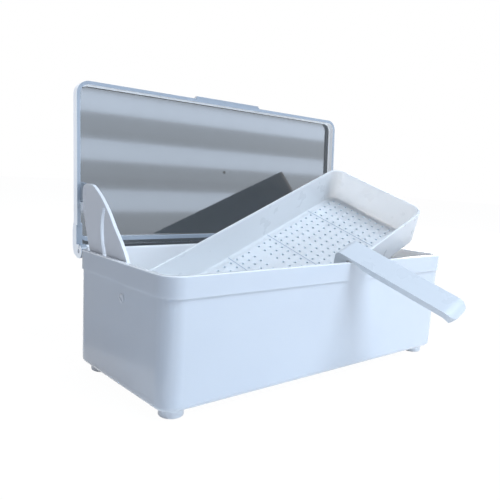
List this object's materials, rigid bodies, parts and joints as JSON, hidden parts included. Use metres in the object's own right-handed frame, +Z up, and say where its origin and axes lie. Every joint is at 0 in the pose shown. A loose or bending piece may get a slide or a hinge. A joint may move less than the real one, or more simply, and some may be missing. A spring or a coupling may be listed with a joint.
{
  "type": "disinfection tray",
  "caption": "Lidded soaking box on feet with a smoke-clear hinged lid on slotted stays and a perforated lift-out tray with a hook-on handle",
  "frame": {"origin": "on the supporting surface, under the middle of the whole open outline", "axes": "+X to the right along the box, +Y to the back where the lid hinges, +Z up"},
  "size_m": [0.28, 0.216, 0.206],
  "materials": {
    "white_plastic": "satin moulded",
    "foot_plastic": "moulded",
    "pin_plastic": "moulded",
    "stay_plastic": "satin moulded",
    "tray_plastic": "satin moulded",
    "smoke_clear": "clear, tinted grey"
  },
  "bodies": {
    "tub_body": {"tub": "white_plastic", "foot_front_left": "foot_plastic", "foot_front_right": "foot_plastic", "foot_back_left": "foot_plastic", "foot_back_right": "foot_plastic", "hinge_pin_left": "pin_plastic", "hinge_pin_right": "pin_plastic", "stay_stud_left": "pin_plastic", "stay_stud_right": "pin_plastic"},
    "lid_body": {"lid": "smoke_clear"},
    "stay_left_body": {"lid_stay_left": "stay_plastic", "stay_pin_left": "pin_plastic"},
    "stay_right_body": {"lid_stay_right": "stay_plastic", "stay_pin_right": "pin_plastic"},
    "tray_body": {"tray": "tray_plastic", "tray_floor": "tray_plastic"},
    "handle_body": {"tray_handle": "tray_plastic"}
  },
  "joints": [
    {"name": "lid_hinge", "type": "hinge", "parent": "tub_body", "child": "lid_body", "pos_m": [0, 0.09142, 0.0833], "axis": [1, 0, 0], "range_deg": [0, 93]},
    {"name": "stay_left_pivot", "type": "hinge", "parent": "lid_body", "child": "stay_left_body", "pos_m": [-0.13405, 0.08402, 0.126], "axis": [1, 0, 0], "range_deg": [-95.8, 0]},
    {"name": "stay_right_pivot", "type": "hinge", "parent": "lid_body", "child": "stay_right_body", "pos_m": [0.13405, 0.08402, 0.126], "axis": [1, 0, 0], "range_deg": [-95.8, 0]},
    {"name": "tray_lower", "type": "hinge", "parent": "tub_body", "child": "tray_body", "pos_m": [-0.0771, 0.03137, 0.105], "axis": [-0.039, 0.9926, -0.115], "range_deg": [0, 25.3]},
    {"name": "handle_lift", "type": "slide", "parent": "tub_body", "child": "handle_body", "axis": [0, -0.385, 0.9229], "range_m": [0, 0.068]}
  ],
  "couplings": [
    {"joint": "stay_left_pivot", "follows": "lid_hinge", "ratio": -1.03},
    {"joint": "stay_right_pivot", "follows": "lid_hinge", "ratio": -1.03},
    {"joint": "tray_lower", "follows": "lid_hinge", "ratio": 0.272},
    {"joint": "handle_lift", "follows": "lid_hinge", "m_per_rad": 0.04189}
  ]
}
